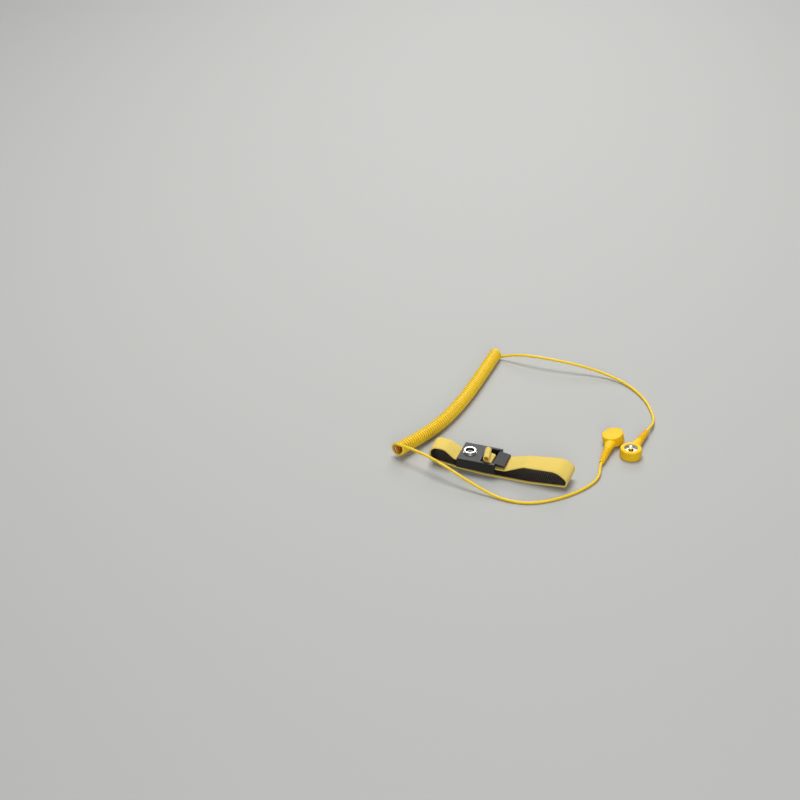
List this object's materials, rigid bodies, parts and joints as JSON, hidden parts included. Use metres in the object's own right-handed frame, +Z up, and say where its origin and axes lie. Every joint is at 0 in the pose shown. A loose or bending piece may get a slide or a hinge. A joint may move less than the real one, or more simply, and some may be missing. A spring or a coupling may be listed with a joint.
{
  "type": "esd wrist strap",
  "caption": "Elastic wrist band with a lever clasp and snap stud, beside its curly grounding cord with a snap connector on each end.",
  "frame": {"origin": "on the table under the middle of the wrist band and clasp; the cord set lies beside them and is left out of that middle", "axes": "+X along the flattened band from the clasp's stud end to its lever end, +Y across the band, +Z up"},
  "size_m": [0.1861, 0.206, 0.0181],
  "materials": {
    "clasp_plastic": "fine matte moulded dark grey",
    "stainless": "brushed stainless steel",
    "nickel": "nickel plated",
    "brass": "stamped brass",
    "webbing": "pale yellow woven elastic",
    "lining": "dark woven lining with conductive silver threads",
    "thread": "yellow sewing thread",
    "cord_sheath": "satin yellow polyurethane",
    "connector_plastic": "satin yellow moulded plastic",
    "resistor_lacquer": "lacquered resistor body"
  },
  "bodies": {
    "strap": {"clasp_body": "clasp_plastic", "contact_plate": "stainless", "band_clamp": "stainless", "snap_stud": "nickel", "stud_rivet": "nickel", "lever_pin": "stainless", "elastic_band": "webbing", "conductive_lining": "lining", "band_end_roll": "webbing", "roll_stitching": "thread"},
    "lever": {"cam_lever": "clasp_plastic"},
    "cord_set": {"coiled_cord": "cord_sheath", "lead_a": "cord_sheath", "lead_b": "cord_sheath", "connector_a_housing": "connector_plastic", "connector_a_cap": "connector_plastic", "connector_a_socket": "nickel", "connector_a_spring": "stainless", "connector_a_terminal": "brass", "connector_a_resistor": "resistor_lacquer", "connector_a_cord": "cord_sheath", "connector_b_housing": "connector_plastic", "connector_b_cap": "connector_plastic", "connector_b_socket": "nickel", "connector_b_spring": "stainless", "connector_b_terminal": "brass", "connector_b_resistor": "resistor_lacquer", "connector_b_cord": "cord_sheath"}
  },
  "joints": [
    {"name": "lever_hinge", "type": "hinge", "parent": "strap", "child": "lever", "pos_m": [-0.0031, 0, 0.0108], "axis": [0, -1, 0], "range_deg": [0, 85]},
    {"name": "cord_set_lift", "type": "slide", "parent": "strap", "child": "cord_set", "axis": [0, 0, 1], "range_m": [0, 0.06]}
  ]
}
